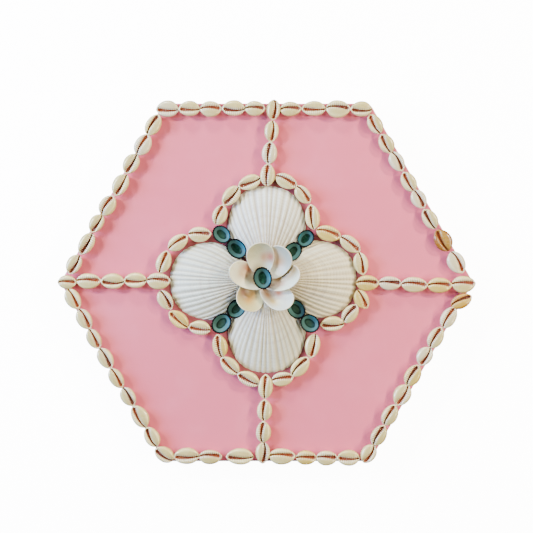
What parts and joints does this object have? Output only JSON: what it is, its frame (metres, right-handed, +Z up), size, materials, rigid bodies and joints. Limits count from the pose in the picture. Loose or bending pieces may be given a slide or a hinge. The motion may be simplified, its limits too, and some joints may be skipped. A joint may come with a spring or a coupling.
{
  "type": "decorative tray",
  "caption": "Flat hexagonal tray: a painted board edged with cowrie shells, with shell rows round scallops and a shell flower in the middle.",
  "frame": {"origin": "middle of the board's underside", "axes": "+Z up out of the decorated face, +X from the middle to the right-hand corner, +Y to the middle of the top side"},
  "size_m": [0.3118, 0.2724, 0.0385],
  "materials": {
    "painted_board": "satin pink paint",
    "cowrie_shell": "glossy ivory shell",
    "scallop_shell": "satin white ribbed shell",
    "limpet_shell": "glossy blue-green shell",
    "petal_shell": "glossy cream shell"
  },
  "bodies": {
    "root": {"board": "painted_board", "border_bottom_left": "cowrie_shell", "border_bottom_right": "cowrie_shell", "border_bottom_single": "cowrie_shell", "border_lower_left": "cowrie_shell", "border_lower_right": "cowrie_shell", "border_top_left": "cowrie_shell", "border_top_right": "cowrie_shell", "border_upper_left": "cowrie_shell", "border_upper_right": "cowrie_shell", "limpet_flower_centre": "limpet_shell", "limpet_lower_left_inner": "limpet_shell", "limpet_lower_left_outer": "limpet_shell", "limpet_lower_right_inner": "limpet_shell", "limpet_lower_right_outer": "limpet_shell", "limpet_upper_left_inner": "limpet_shell", "limpet_upper_left_outer": "limpet_shell", "limpet_upper_right_inner": "limpet_shell", "limpet_upper_right_outer": "limpet_shell", "petal_left": "petal_shell", "petal_lower_left": "petal_shell", "petal_lower_right": "petal_shell", "petal_right": "petal_shell", "petal_top": "petal_shell", "petal_upper_right": "petal_shell", "ring_bottom_left": "cowrie_shell", "ring_bottom_right": "cowrie_shell", "ring_left_lower": "cowrie_shell", "ring_left_upper": "cowrie_shell", "ring_right_lower": "cowrie_shell", "ring_right_upper": "cowrie_shell", "ring_top_left": "cowrie_shell", "ring_top_right": "cowrie_shell", "scallop_bottom": "scallop_shell", "scallop_left": "scallop_shell", "scallop_right": "scallop_shell", "scallop_top": "scallop_shell", "spoke_bottom": "cowrie_shell", "spoke_left": "cowrie_shell", "spoke_right": "cowrie_shell", "spoke_top": "cowrie_shell"}
  },
  "joints": []
}
